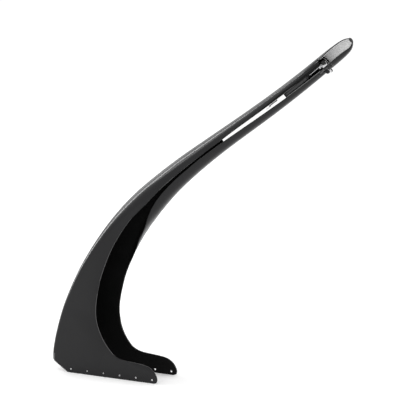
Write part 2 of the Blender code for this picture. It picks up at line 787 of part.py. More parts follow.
def arm_buffer(look, frame):
    """The rubber stop behind the slit's upper lip at the arm's end."""
    low_x = ARM_BUFFER_X - BUFFER_LENGTH
    made = plug("arm_buffer", look, neck_between(low_x, ARM_BUFFER_X, 2), WALL + BOND_GAP)
    keep = box("buffer_keep", look, (low_x - CUT_OVERRUN, -END_RADIUS * 2, BUFFER_FOOT_Z),
               (ARM_BUFFER_X + CUT_OVERRUN, BUFFER_SIDE_Y, BUFFER_FOOT_Z + BUFFER_HEIGHT))
    boolean(made, carry(keep, frame), "INTERSECT")
    return made


# ---------------------------------------------------------------- hinge

def block_sheet(name, look, stations, inset):
    """A curved sheet inside the bottom of the tube, as thick as a hinge block."""

    def span(station):
        reach = station.front_radius * radians(BLOCK_HALF_ANGLE)
        return even(station.half - reach, station.half + reach, 8)

    return strip(name, look, stations, span, inset, inset + BLOCK_THICKNESS)


def sheet_height(radius, side):
    """Height of the middle of a hinge block's round sheet, at a place to one side."""
    return -sqrt(radius**2 - side**2)


def knuckle(name, look, low_y, high_y, side, top):
    """A hinge knuckle with the web that joins it to its block. side is -1 for the arm and 1 for the tip."""
    r = KNUCKLE_RADIUS
    outline = arc_points((0, HINGE_Z), r, 180, 450, 15) + [(-2 * SEAM_GAP, top), (-r, top)]
    outline = [(-side * x, z) for x, z in outline]
    return prism(name, look, outline, low_y, high_y)


def arm_hinge_block(look, frame):
    """The insert in the arm's end, with one knuckle on each side of the tip's."""
    stations = neck_between(-BLOCK_LENGTH - SEAM_GAP, -SEAM_GAP, 4)
    made = block_sheet("arm_hinge_block", look, stations, WALL + BOND_GAP)
    top = sheet_height(ARM_SHEET_RADIUS, (LUG_INNER + LUG_OUTER) / 2)
    for name, low, high in (("near", -LUG_OUTER, -LUG_INNER), ("far", LUG_INNER, LUG_OUTER)):
        boolean(made, carry(knuckle("arm_knuckle_" + name, look, low, high, -1, top), frame), "UNION")
    boolean(made, carry(hinge_bore("arm_bolt_cutter", look, BOLT_RADIUS + GAP), frame), "DIFFERENCE")
    boolean(made, carry(screw_holes("arm_block_cutter", look, ARM_SCREW_X), frame), "DIFFERENCE")
    return made


def tip_hinge_block(look, frame):
    """The bright insert in the tip's root, with the middle knuckle and the crank that the rod works."""
    inset = TIP_WALL + LINER_THICKNESS + 2 * BOND_GAP
    made = block_sheet("tip_hinge_block", look, tip_stations(SEAM_GAP, SEAM_GAP + BLOCK_LENGTH, 4), inset)
    top = sheet_height(TIP_SHEET_RADIUS, TIP_KNUCKLE_HALF / 2)
    boolean(made, knuckle("tip_knuckle", look, -TIP_KNUCKLE_HALF, TIP_KNUCKLE_HALF, 1, top), "UNION")
    near = CRANK_Y - CRANK_THICKNESS / 2
    far = CRANK_Y + CRANK_THICKNESS / 2
    boolean(made, prism("crank", look, crank_outline(), near, far), "UNION")
    boolean(made, hinge_bore("tip_bolt_cutter", look, BOLT_RADIUS + BUSH_WALL + GAP), "DIFFERENCE")
    pin_hole = cylinder("crank_pin_cutter", look, Vector((CRANK_PIN_X, CRANK_Y, STRUT_Z)), ACROSS,
                        CRANK_PIN_RADIUS + GAP, CRANK_THICKNESS * 3, SMALL_SEGMENTS)
    boolean(made, pin_hole, "DIFFERENCE")
    boolean(made, screw_holes("tip_block_cutter", look, TIP_SCREW_X), "DIFFERENCE")
    return carry(made, frame)


def crank_outline():
    """From round the pin, down over the seam and into the tip's block."""
    outline = arc_points((CRANK_PIN_X, STRUT_Z), CRANK_BOSS_RADIUS, 90, 200, 6)
    root = sheet_height(TIP_SHEET_RADIUS, CRANK_Y - CRANK_THICKNESS / 2)
    outline += [(0.0, CRANK_ELBOW_Z), (2 * SEAM_GAP, CRANK_ELBOW_Z - SEAM_GAP), (2 * SEAM_GAP, root)]
    return outline + [(CRANK_FOOT_X, root), (CRANK_FOOT_X, STRUT_Z + CRANK_BOSS_RADIUS)]


def block_screws(prefix, look, frame, x, wall):
    """Button-head screws through the shell into a hinge block, one on each side."""
    shank = wall + BLOCK_THICKNESS * 0.9
    head = SCREW_HEAD_HEIGHT
    profile = [(-shank, SCREW_RADIUS), (0.0, SCREW_RADIUS), (0.0, SCREW_HEAD_RADIUS),
               (head * 0.6, SCREW_HEAD_RADIUS * 0.92), (head, SCREW_HEAD_RADIUS * 0.6)]
    made = []
    for axis, side in zip(screw_axes(), ("near", "far")):
        seat = Vector((x, 0, 0)) + axis * (END_RADIUS + GAP)
        made.append(carry(turned(prefix + "_" + side, look, seat, axis, profile, SMALL_SEGMENTS), frame))
    return made


def crank_pin(look, frame):
    """The pin through the crank and the rod end's slot, with a head on the near side."""
    near = STRUT_Y - ROD_END_THICKNESS / 2 - GAP - CRANK_PIN_HEAD
    far = CRANK_Y + CRANK_THICKNESS / 2 + CRANK_PIN_HEAD
    head = CRANK_PIN_RADIUS * 1.7
    profile = [(0, CRANK_PIN_RADIUS * 1.2), (CRANK_PIN_HEAD * 0.4, head), (CRANK_PIN_HEAD, head),
               (CRANK_PIN_HEAD, CRANK_PIN_RADIUS), (far - near, CRANK_PIN_RADIUS)]
    made = turned("crank_pin", look, Vector((CRANK_PIN_X, near, STRUT_Z)), ACROSS, profile, SMALL_SEGMENTS)
    return carry(made, frame)


def hinge_bolt(look, frame):
    start = -(LUG_OUTER + GAP + BOLT_HEAD_LENGTH)
    length = 2 * (LUG_OUTER + GAP) + BOLT_HEAD_LENGTH + BOLT_NUT_LENGTH + BOLT_THREAD_OUT
    head = BOLT_HEAD_RADIUS
    profile = [(0, head * 0.8), (BOLT_HEAD_LENGTH * 0.3, head), (BOLT_HEAD_LENGTH, head),
               (BOLT_HEAD_LENGTH, BOLT_RADIUS), (length, BOLT_RADIUS)]
    return carry(turned("hinge_bolt", look, Vector((0, start, HINGE_Z)), ACROSS, profile), frame)


def hinge_nut(look, frame):
    middle = Vector((0, LUG_OUTER + GAP + BOLT_NUT_LENGTH / 2, HINGE_Z))
    made = cylinder("hinge_nut", look, middle, ACROSS, BOLT_HEAD_RADIUS, BOLT_NUT_LENGTH, 6)
    boolean(made, hinge_bore("nut_cutter", look, BOLT_RADIUS + GAP), "DIFFERENCE")
    return carry(made, frame)


def ring(name, look, frame, middle, outer, length):
    """A ring on the hinge bolt, about a place across the arm."""
    bm = bmesh.new()
    inner = BOLT_RADIUS + GAP
    rows = []
    for radius, side in ((outer, -1), (outer, 1), (inner, 1), (inner, -1)):
        row = []
        for k in range(ROUND_SEGMENTS):
            angle = 2 * pi * k / ROUND_SEGMENTS
            place = (radius * cos(angle), middle + side * length / 2, HINGE_Z + radius * sin(angle))
            row.append(bm.verts.new(place))
        rows.append(row)
    for k in range(4):
        low, high = rows[k], rows[(k + 1) % 4]
        for j in range(ROUND_SEGMENTS):
            after = (j + 1) % ROUND_SEGMENTS
            bm.faces.new((low[j], low[after], high[after], high[j]))
    return carry(finish_mesh(name, bm, look), frame)


# ---------------------------------------------------------------- pieces of the tip

def tip_shell(look, frame):
    stations = tip_stations(SEAM_GAP / 2, TIP_LENGTH, 18)
    made = strip("tip_shell", look, stations, lambda st: even(st.near_end, st.far_end, 20), 0.0, TIP_WALL)
    boolean(made, hinge_pocket("tip_pocket_cutter", look), "DIFFERENCE")
    boolean(made, screw_holes("tip_screw_cutter", look, TIP_SCREW_X), "DIFFERENCE")
    return carry(made, frame)


def tip_liner(look, frame):
    """The bright plate that lines the tip, from the hinge pocket to the beak."""
    stations = tip_stations(KNUCKLE_RADIUS + POCKET_CLEARANCE + GAP, TIP_LENGTH * LINER_END, 16)
    inset = TIP_WALL + BOND_GAP

    def span(station):
        return even(station.near_end + LINER_SHORT, station.far_end - LINER_SHORT, 16)

    made = strip("tip_liner", look, stations, span, inset, inset + LINER_THICKNESS)
    boolean(made, screw_holes("liner_screw_cutter", look, TIP_SCREW_X), "DIFFERENCE")
    return carry(made, frame)


def tip_end_cap(look, frame):
    """The dark beak on the tip's end."""
    last = tip_station(TIP_LENGTH)
    high = last.spine.y
    low = high - last.depth
    sections = []
    for share, squeeze in ((0.0, 1.0), (0.45, 0.72), (1.0, 0.25)):
        x = TIP_LENGTH + GAP + CAP_LENGTH * share
        middle = (high + low) / 2 + CAP_RISE * share
        radius = last.half_width * squeeze
        sections.append(Station((x, middle + radius), (x, middle - radius), radius, radius, radius, 0.0, 0.0))
    return carry(plug("tip_end_cap", look, sections, 0.0, 20), frame)


def tip_buffer(look, frame):
    """The rubber stop on the crank, facing the arm."""
    near = CRANK_Y - CRANK_THICKNESS / 2 - GAP
    top = STRUT_Z + CRANK_BOSS_RADIUS + 2 * BUFFER_BEVEL
    made = box("tip_buffer", look, (2 * SEAM_GAP, near - BUFFER_WIDTH, top - BUFFER_HEIGHT * 1.25),
               (CRANK_FOOT_X, near, top), BUFFER_BEVEL)
    return carry(made, frame)


# ---------------------------------------------------------------- the whole object

def build_arm(looks, frame):
    arm_shell(looks["composite"], frame)
    label_strip(looks["label"])
    lip_trim(looks["aluminium"])
    strut_body(looks["strut"], frame)
    strut_gland(looks["dark"], frame)
    strut_saddle(looks["dark"], frame)
    arm_buffer(looks["rubber"], frame)
    arm_hinge_block(looks["dark"], frame)
    block_screws("arm_screw", looks["dark"], frame, ARM_SCREW_X, WALL)
    hinge_bolt(looks["dark"], frame)
    hinge_nut(looks["dark"], frame)
    washer_y = (TIP_KNUCKLE_HALF + LUG_INNER) / 2
    washer_radius = KNUCKLE_RADIUS * 0.85
    for name, place in (("near", -washer_y), ("far", washer_y)):
        ring("hinge_washer_" + name, looks["steel"], frame, place, washer_radius, WASHER_THICKNESS)


def build_rod(looks, frame):
    pieces = [strut_rod(looks["steel"], frame), rod_end(looks["steel"], frame)]
    ride_on("rod_axis", frame @ Matrix.Translation(strut_place(CRANK_PIN_X)), pieces)


def build_tip(looks, frame):
    pieces = [
        tip_shell(looks["composite"], frame),
        tip_liner(looks["aluminium"], frame),
        tip_hinge_block(looks["aluminium"], frame),
        crank_pin(looks["steel"], frame),
        ring("hinge_bush", looks["bush"], frame, 0.0, BOLT_RADIUS + BUSH_WALL, 2 * TIP_KNUCKLE_HALF),
        tip_end_cap(looks["cap"], frame),
        tip_buffer(looks["rubber"], frame),
    ]
    pieces += block_screws("tip_screw", looks["dark"], frame, TIP_SCREW_X, TIP_WALL + LINER_THICKNESS)
    ride_on("tip_axis", frame @ Matrix.Translation((0, 0, HINGE_Z)), pieces)


def main():
    clear_scene()
    looks = {
        "composite": material("composite", (0.022, 0.022, 0.024), 0.32),
        "strut": material("strut_black", (0.012, 0.012, 0.013), 0.4),
        "dark": material("dark_metal", (0.02, 0.02, 0.02), 0.45, 0.6),
        "steel": material("bright_steel", (0.62, 0.62, 0.63), 0.25, 1.0),
        "aluminium": material("bright_aluminium", (0.72, 0.72, 0.73), 0.3, 1.0),
        "label": material("white_label", (0.86, 0.86, 0.86), 0.5),
        "rubber": material("black_rubber", (0.015, 0.015, 0.015), 0.8),
        "bush": material("bush_plastic", (0.75, 0.73, 0.66), 0.5),
        "cap": material("cap_plastic", (0.02, 0.02, 0.02), 0.5),
    }
    frame = end_frame()
    build_arm(looks, frame)
    build_rod(looks, frame)
    build_tip(looks, frame)


main()
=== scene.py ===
# %% [markdown]
# # A swan-neck composite arm with a hinged tip
# The arm is a hollow black shell. Its foot is a channel with two drilled cheeks, its neck closes to a
# tube with one long slit, and a small strut in the slit works a hinged, open tip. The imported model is
# the fixed frame: it gives every size and place. This lesson gives each piece its finish, and models
# again the small hardware whose real shape has more in it than a working solid needs.

import json
from math import atan, cos, degrees, pi, radians, sin

import bpy
from mathutils import Matrix, Vector

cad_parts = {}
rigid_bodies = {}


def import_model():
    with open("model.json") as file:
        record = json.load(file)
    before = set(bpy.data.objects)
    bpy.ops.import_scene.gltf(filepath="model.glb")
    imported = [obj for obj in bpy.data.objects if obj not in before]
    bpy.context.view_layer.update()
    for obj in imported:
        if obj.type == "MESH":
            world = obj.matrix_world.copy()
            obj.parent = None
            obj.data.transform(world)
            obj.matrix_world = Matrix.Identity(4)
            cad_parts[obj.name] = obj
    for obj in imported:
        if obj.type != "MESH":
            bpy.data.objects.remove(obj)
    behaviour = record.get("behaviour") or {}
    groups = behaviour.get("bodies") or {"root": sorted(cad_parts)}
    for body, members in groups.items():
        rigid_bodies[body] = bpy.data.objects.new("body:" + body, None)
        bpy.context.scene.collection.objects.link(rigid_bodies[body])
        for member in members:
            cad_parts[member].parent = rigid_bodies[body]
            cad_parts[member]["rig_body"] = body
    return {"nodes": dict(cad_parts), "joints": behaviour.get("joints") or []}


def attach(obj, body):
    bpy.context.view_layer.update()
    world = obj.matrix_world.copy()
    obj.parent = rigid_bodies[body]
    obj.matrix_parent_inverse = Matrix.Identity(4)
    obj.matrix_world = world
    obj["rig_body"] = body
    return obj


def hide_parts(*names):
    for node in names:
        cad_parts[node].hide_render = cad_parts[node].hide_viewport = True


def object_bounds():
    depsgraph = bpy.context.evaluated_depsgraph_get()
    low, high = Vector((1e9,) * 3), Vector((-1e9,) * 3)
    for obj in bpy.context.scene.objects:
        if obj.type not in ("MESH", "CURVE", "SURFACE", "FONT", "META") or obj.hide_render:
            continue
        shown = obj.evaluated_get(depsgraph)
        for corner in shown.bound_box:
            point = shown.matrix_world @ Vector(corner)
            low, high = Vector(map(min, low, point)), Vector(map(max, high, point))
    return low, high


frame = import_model()
cad_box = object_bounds()
nodes = frame["nodes"]
scene = bpy.context.scene
print("CAD pieces:", len(nodes), "box:", [round(v, 4) for corner in cad_box for v in corner])

# %% [markdown]
# ## Working by hand, in code
# A mesh operator works on whatever is selected, so each step first lets go of everything and then picks
# what it needs. These few helpers do that: one takes up a single object, one picks faces, edges or points
# by a rule, and one ends a piece by resting its object at the origin with its place in its mesh.

# %% Selection helpers
def take(obj):
    """Makes obj the only selected object and the active one."""
    bpy.ops.object.select_all(action="DESELECT")
    obj.select_set(True)
    bpy.context.view_layer.objects.active = obj
    return obj


def pick(obj, kind, rule):
    """Opens obj in edit mode with only those faces, edges or points selected that pass a rule."""
    take(obj)
    bpy.ops.object.mode_set(mode="EDIT")
    bpy.ops.mesh.select_mode(type=kind)
    bpy.ops.mesh.select_all(action="DESELECT")
    bpy.ops.object.mode_set(mode="OBJECT")
    parts = {"FACE": obj.data.polygons, "EDGE": obj.data.edges, "VERT": obj.data.vertices}[kind]
    for part in parts:
        part.select = rule(part)
    bpy.ops.object.mode_set(mode="EDIT")


def close_edit():
    bpy.ops.object.mode_set(mode="OBJECT")


def apply_modifier(obj, kind, **values):
    """Adds one modifier with the given values and makes its result the mesh."""
    take(obj)
    step = obj.modifiers.new(kind.lower(), kind)
    for name, value in values.items():
        setattr(step, name, value)
    bpy.ops.object.modifier_apply(modifier=step.name)


def settle(obj, place):
    """Moves a finished mesh to its place, and leaves the object itself at the origin."""
    obj.data.transform(place)
    obj.matrix_world = Matrix.Identity(4)
    return obj


def smooth(obj, angle=35):
    take(obj)
    bpy.ops.object.shade_smooth_by_angle(angle=radians(angle))


# %% [markdown]
# ## The arm's end as a place to work
# The tip, the strut and the hinge all line up with the last stretch of the arm, which leans. It is easier
# to model them upright in a frame of their own: x along the arm, y across it, z away from the hollow of
# the bend. The two joints give this frame exactly.

# %% The end frame
joints = {joint["name"]: joint for joint in frame["joints"]}
along = Vector(joints["rod_slide"]["axis"]).normalized()
hinge = Vector(joints["tip_fold"]["pos_m"])
across = Vector((0, 1, 0))
outward = along.cross(across)
end_turn = Matrix((along, across, outward)).transposed().to_4x4()
hinge_frame = Matrix.Translation(hinge) @ end_turn


def end_size(node):
    """Lowest and highest corner of a CAD node, measured in the hinge's frame."""
    back = hinge_frame.inverted()
    points = [back @ v.co for v in nodes[node].data.vertices]
    low = Vector([min(p[k] for p in points) for k in range(3)])
    high = Vector([max(p[k] for p in points) for k in range(3)])
    return low, high


body_low, body_high = end_size("strut_body")
print("strut body in the hinge's frame, mm:", [round(v * 1000, 1) for v in (*body_low, *body_high)])

# %% [markdown]
# ## Camera
# A long lens from far away keeps the arm's taper honest, because near and far edges then look nearly the
# same size. The camera aims at the middle of the arm's height, from the side with the slit and a little
# above.

# %% Camera
AIM = Vector((0.3774, 0.0, 0.5086))
AZIMUTH, ELEVATION = radians(29), radians(13.6)
CAMERA_DISTANCE = 40.0
CAMERA_REACH = 80
VIEW_WIDTH = 1.0695

camera = bpy.data.objects.new("camera", bpy.data.cameras.new("camera"))
scene.collection.objects.link(camera)
away = Vector((sin(AZIMUTH) * cos(ELEVATION), -cos(AZIMUTH) * cos(ELEVATION), sin(ELEVATION)))
camera.location = AIM + away * CAMERA_DISTANCE
camera.rotation_euler = (-away).to_track_quat("-Z", "Y").to_euler()
camera.data.lens = camera.data.sensor_width * CAMERA_DISTANCE / VIEW_WIDTH
camera.data.clip_end = CAMERA_REACH
scene.camera = camera
print("lens, mm:", round(camera.data.lens, 1))

# %% [markdown]
# ## Studio
# A glossy black object is drawn by what it mirrors. A white room gives its edges their pale fade. One
# long softbox stands on the spine's side, a wide weak one behind it lights the upper edge, and a third
# in front lifts the flat cheeks from black to dark grey. The floor is a plain pale sheet.

# %% Floor, world and lights
def plain_material(name, colour, roughness):
    made = bpy.data.materials.new(name)
    made.use_nodes = True
    shader = made.node_tree.nodes["Principled BSDF"]
    shader.inputs["Base Color"].default_value = (*colour, 1)
    shader.inputs["Roughness"].default_value = roughness
    return made


def softbox(name, place, aim, size, power):
    """A rectangular light at a place, turned towards a point."""
    lamp = bpy.data.lights.new(name, "AREA")
    lamp.shape = "RECTANGLE"
    lamp.size, lamp.size_y = size
    lamp.energy = power
    made = bpy.data.objects.new(name, lamp)
    made.location = place
    made.rotation_euler = (Vector(aim) - Vector(place)).to_track_quat("-Z", "Y").to_euler()
    scene.collection.objects.link(made)
    return made


FLOOR_SIZE = 40
FLOOR_DROP = 0.0008
FLOOR_GLOW = 0.1

bpy.ops.mesh.primitive_plane_add(size=FLOOR_SIZE, location=(0, 0, -FLOOR_DROP))
floor = bpy.context.object
floor.name = "floor"
pale = plain_material("pale_floor", (0.93, 0.93, 0.93), 0.9)
pale_shader = pale.node_tree.nodes["Principled BSDF"]
pale_shader.inputs["Specular IOR Level"].default_value = 0.0
pale_shader.inputs["Emission Color"].default_value = (1, 1, 1, 1)
pale_shader.inputs["Emission Strength"].default_value = FLOOR_GLOW
floor.data.materials.append(pale)

world = bpy.data.worlds.new("white_room")
world.use_nodes = True
world.node_tree.nodes["Background"].inputs["Color"].default_value = (1, 1, 1, 1)
world.node_tree.nodes["Background"].inputs["Strength"].default_value = 1.0
scene.world = world
scene.view_settings.view_transform = "Standard"

softbox("spine_softbox", (-3.0, -0.2, 1.2), (0.1, 0, 0.35), (0.5, 2.0), 60)
softbox("rim_softbox", (-2.2, 1.0, 1.7), (0.6, 0, 0.8), (1.6, 1.6), 14)
softbox("front_softbox", (1.6, -2.6, 1.6), (0.3, 0, 0.5), (1.6, 1.6), 8)

# %% [markdown]
# ## Shared effects
# Several finishes need the same small irregularities. Each effect is one node group, built once: a woven
# pattern for the fibre cloth that lies just under the surface, a fine grain, soft patches of handling
# marks, and the long thin lines of a brushed or drawn metal.

# %% Node group helpers
def new_group(name, inputs, outputs):
    """An empty node group with named number inputs and outputs."""
    group = bpy.data.node_groups.new(name, "ShaderNodeTree")
    for label, kind, value in inputs:
        socket = group.interface.new_socket(label, in_out="INPUT", socket_type=kind)
        if value is not None:
            socket.default_value = value
    for label, kind in outputs:
        group.interface.new_socket(label, in_out="OUTPUT", socket_type=kind)
    ends = group.nodes.new("NodeGroupInput"), group.nodes.new("NodeGroupOutput")
    return group, *ends


def add(tree, kind, **values):
    """Adds a node and sets its properties, and its inputs where a value is given by input name."""
    node = tree.nodes.new(kind)
    for name, value in values.items():
        if hasattr(node, name):
            setattr(node, name, value)
        else:
            node.inputs[name.replace("_", " ")].default_value = value
    return node


def maths(tree, operation, first, second=None):
    """A Math node. Each operand is a socket or a number."""
    node = tree.nodes.new("ShaderNodeMath")
    node.operation = operation
    for k, operand in enumerate((first, second)):
        if operand is None:
            continue
        if isinstance(operand, (int, float)):
            node.inputs[k].default_value = operand
        else:
            tree.links.new(operand, node.inputs[k])
    return node.outputs[0]


def spread(tree, socket, low, high):
    """Turns a 0 to 1 value into one from low to high."""
    node = tree.nodes.new("ShaderNodeMapRange")
    node.inputs["To Min"].default_value = low
    node.inputs["To Max"].default_value = high
    tree.links.new(socket, node.inputs["Value"])
    return node.outputs["Result"]


# %% Weave group
def build_weave():
    """A two-over-two twill: diagonal bands of tow that pass over and under each other."""
    group, start, end = new_group(
        "twill_weave",
        [("Vector", "NodeSocketVector", None), ("Tow Width", "NodeSocketFloat", 0.002)],
        [("Height", "NodeSocketFloat"), ("Direction", "NodeSocketFloat")],
    )
    split = add(group, "ShaderNodeSeparateXYZ")
    group.links.new(start.outputs["Vector"], split.inputs[0])
    u = maths(group, "DIVIDE", split.outputs["X"], start.outputs["Tow Width"])
    v = maths(group, "DIVIDE", split.outputs["Y"], start.outputs["Tow Width"])
    column = maths(group, "FLOOR", u)
    row = maths(group, "FLOOR", v)
    step = maths(group, "FLOORED_MODULO", maths(group, "ADD", column, row), 4)
    over = maths(group, "LESS_THAN", step, 1.5)
    u_crown = maths(group, "SINE", maths(group, "MULTIPLY", maths(group, "FRACT", u), pi))
    v_crown = maths(group, "SINE", maths(group, "MULTIPLY", maths(group, "FRACT", v), pi))
    under = maths(group, "SUBTRACT", 1.0, over)
    u_part = maths(group, "MULTIPLY", over, u_crown)
    v_part = maths(group, "MULTIPLY", under, v_crown)
    crown = maths(group, "ADD", u_part, v_part)
    group.links.new(crown, end.inputs["Height"])
    group.links.new(over, end.inputs["Direction"])
    return group


# %% Grain, handling marks and brushed lines
def build_grain():
    """Fine even bumps, as on moulded plastic or rubber."""
    group, start, end = new_group(
        "fine_grain", [("Size", "NodeSocketFloat", 0.0005)], [("Height", "NodeSocketFloat")])
    where = add(group, "ShaderNodeTexCoord")
    noise = add(group, "ShaderNodeTexNoise", Detail=3.0, Roughness=0.6)
    group.links.new(where.outputs["Object"], noise.inputs["Vector"])
    group.links.new(maths(group, "DIVIDE", 1.0, start.outputs["Size"]), noise.inputs["Scale"])
    group.links.new(noise.outputs["Fac"], end.inputs["Height"])
    return group


def build_handling():
    """Soft patches where hands and cloths have dulled a gloss, and a few thin scratches."""
    group, start, end = new_group(
        "handling_marks", [("Patch Size", "NodeSocketFloat", 0.08)],
        [("Patches", "NodeSocketFloat"), ("Scratches", "NodeSocketFloat")])
    where = add(group, "ShaderNodeTexCoord")
    noise = add(group, "ShaderNodeTexNoise", Detail=5.0, Roughness=0.55)
    group.links.new(where.outputs["Object"], noise.inputs["Vector"])
    group.links.new(maths(group, "DIVIDE", 1.0, start.outputs["Patch Size"]), noise.inputs["Scale"])
    group.links.new(noise.outputs["Fac"], end.inputs["Patches"])
    turn = add(group, "ShaderNodeMapping")
    turn.inputs["Rotation"].default_value = (0.3, 0.5, 0.9)
    turn.inputs["Scale"].default_value = (9, 260, 190)
    group.links.new(where.outputs["Object"], turn.inputs["Vector"])
    lines = add(group, "ShaderNodeTexNoise", Scale=1.0, Detail=2.0)
    group.links.new(turn.outputs[0], lines.inputs["Vector"])
    thin = add(group, "ShaderNodeMapRange")
    thin.inputs["From Min"].default_value = 0.70
    thin.inputs["From Max"].default_value = 0.76
    group.links.new(lines.outputs["Fac"], thin.inputs["Value"])
    group.links.new(thin.outputs["Result"], end.inputs["Scratches"])
    return group


def build_brushed():
    """Long thin lines along one direction, as a belt or a drawing die leaves them."""
    group, start, end = new_group(
        "brushed_lines", [("Vector", "NodeSocketVector", None)], [("Lines", "NodeSocketFloat")])
    noise = add(group, "ShaderNodeTexNoise", Scale=1.0, Detail=4.0, Roughness=0.7)
    group.links.new(start.outputs["Vector"], noise.inputs["Vector"])
    group.links.new(noise.outputs["Fac"], end.inputs["Lines"])
    return group


weave, grain, handling, brushed = build_weave(), build_grain(), build_handling(), build_brushed()
print("shared effects:", [g.name for g in (weave, grain, handling, brushed)])

# %% [markdown]
# ## Finishes
# The arm is fibre cloth in black resin under a satin lacquer. Seen close, the tows of the twill show
# faintly, because each one turns the light a little differently. From further off it is a dark surface
# with broad soft reflections. The inside is rougher, as it came off the mandrel, and its colour is
# painted blacker as shade for the hollow channel. The cut faces' lighter grey is partly the duller cut
# laminate and partly a painted highlight for the bright line along the lips.

# %% Material helpers
def surface(name, colour, roughness, metallic=0.0, coat=0.0, coat_roughness=0.1, specular=0.5):
    """A material with its plain values on the Principled shader itself."""
    made = plain_material(name, colour, roughness)
    shader = made.node_tree.nodes["Principled BSDF"]
    shader.inputs["Specular IOR Level"].default_value = specular
    shader.inputs["Metallic"].default_value = metallic
    shader.inputs["Coat Weight"].default_value = coat
    shader.inputs["Coat Roughness"].default_value = coat_roughness
    return made, made.node_tree, shader


def use(tree, group, **values):
    node = tree.nodes.new("ShaderNodeGroup")
    node.node_tree = group
    for name, value in values.items():
        node.inputs[name.replace("_", " ")].default_value = value
    return node


def bump(tree, shader, height, distance, strength=1.0):
    node = add(tree, "ShaderNodeBump", Strength=strength, Distance=distance)
    tree.links.new(height, node.inputs["Height"])
    tree.links.new(node.outputs["Normal"], shader.inputs["Normal"])


def tint(tree, shader, factor, dark, light):
    """Base colour between two colours, by a 0 to 1 value."""
    mix = tree.nodes.new("ShaderNodeMix")
    mix.data_type = "RGBA"
    mix.inputs["A"].default_value = (*dark, 1)
    mix.inputs["B"].default_value = (*light, 1)
    tree.links.new(factor, mix.inputs["Factor"])
    tree.links.new(mix.outputs["Result"], shader.inputs["Base Color"])


# %% Composite, outside and inside
TOW_WIDTH = 0.0021


def composite_outside():
    made, tree, shader = surface("lacquered_composite", (0.007, 0.007, 0.008), 0.3, coat=0.30,
                                 coat_roughness=0.14, specular=0.1)
    where = add(tree, "ShaderNodeUVMap")
    cloth = use(tree, weave, Tow_Width=TOW_WIDTH)
    tree.links.new(where.outputs["UV"], cloth.inputs["Vector"])
    marks = use(tree, handling, Patch_Size=0.09)
    tows = maths(tree, "MULTIPLY", cloth.outputs["Direction"], 0.35)
    shade = maths(tree, "ADD", tows, maths(tree, "MULTIPLY", marks.outputs["Patches"], 0.5))
    tint(tree, shader, shade, (0.005, 0.005, 0.0055), (0.011, 0.011, 0.012))
    rough = maths(tree, "ADD", spread(tree, marks.outputs["Patches"], 0.24, 0.42),
                  maths(tree, "MULTIPLY", marks.outputs["Scratches"], 0.12))
    tree.links.new(rough, shader.inputs["Roughness"])
    bump(tree, shader, cloth.outputs["Height"], 0.00001, 0.12)
    return made


def composite_edge_painted_highlight():
    # Partly painted highlight: the cut faces' lighter grey is the duller cut laminate, and it also stands for
    # the bright line along the lips.
    made, tree, shader = surface("cut_laminate_painted_highlight", (0.05, 0.05, 0.05), 0.45)
    fine = use(tree, grain, Size=0.0006)
    tint(tree, shader, fine.outputs["Height"], (0.035, 0.035, 0.035), (0.075, 0.075, 0.076))
    bump(tree, shader, fine.outputs["Height"], 0.00002, 0.3)
    return made


def composite_inside_painted_shade():
    # Painted shade: the inside's colour is blacker than the lacquered outside and stands for the shade in the
    # hollow channel. Its higher roughness is the real bare laminate.
    made, tree, shader = surface("bare_composite_painted_shade", (0.003, 0.003, 0.003), 0.7, specular=0.08)
    where = add(tree, "ShaderNodeUVMap")
    cloth = use(tree, weave, Tow_Width=TOW_WIDTH)
    tree.links.new(where.outputs["UV"], cloth.inputs["Vector"])
    marks = use(tree, handling, Patch_Size=0.05)
    tint(tree, shader, marks.outputs["Patches"], (0.002, 0.002, 0.002), (0.005, 0.005, 0.005))
    tree.links.new(spread(tree, cloth.outputs["Direction"], 0.5, 0.66), shader.inputs["Roughness"])
    bump(tree, shader, cloth.outputs["Height"], 0.00012, 0.8)
    return made


# %% Metals, plastic, rubber and label
def bright_metal(name, colour, roughness, stretch):
    """Bright metal whose fine lines run along one direction of the end frame."""
    made, tree, shader = surface(name, colour, roughness, metallic=1.0)
    where = add(tree, "ShaderNodeTexCoord")
    turn = add(tree, "ShaderNodeMapping")
    turn.vector_type = "TEXTURE"
    turn.inputs["Rotation"].default_value = end_turn.to_euler()
    turn.inputs["Scale"].default_value = stretch
    tree.links.new(where.outputs["Object"], turn.inputs["Vector"])
    lines = use(tree, brushed)
    tree.links.new(turn.outputs[0], lines.inputs["Vector"])
    marks = use(tree, handling, Patch_Size=0.02)
    rough = maths(tree, "ADD", spread(tree, lines.outputs["Lines"], roughness * 0.6, roughness * 1.3),
                  maths(tree, "MULTIPLY", marks.outputs["Patches"], 0.08))
    tree.links.new(rough, shader.inputs["Roughness"])
    dark = tuple(c * 0.86 for c in colour)
    tint(tree, shader, lines.outputs["Lines"], dark, colour)
    bump(tree, shader, lines.outputs["Lines"], 0.00001, 0.35)
    return made


def moulded(name, dark, light, roughness, grain_size, depth, metallic=0.0):
    """Plastic, rubber or blackened metal with an even grain."""
    made, tree, shader = surface(name, light, roughness, metallic=metallic)
    fine = use(tree, grain, Size=grain_size)
    marks = use(tree, handling, Patch_Size=0.015)
    tint(tree, shader, marks.outputs["Patches"], dark, light)
    rough = maths(tree, "ADD", spread(tree, marks.outputs["Patches"], roughness - 0.08, roughness + 0.08),
                  maths(tree, "MULTIPLY", marks.outputs["Scratches"], 0.1))
    tree.links.new(rough, shader.inputs["Roughness"])
    bump(tree, shader, fine.outputs["Height"], depth, 0.6)
    return made


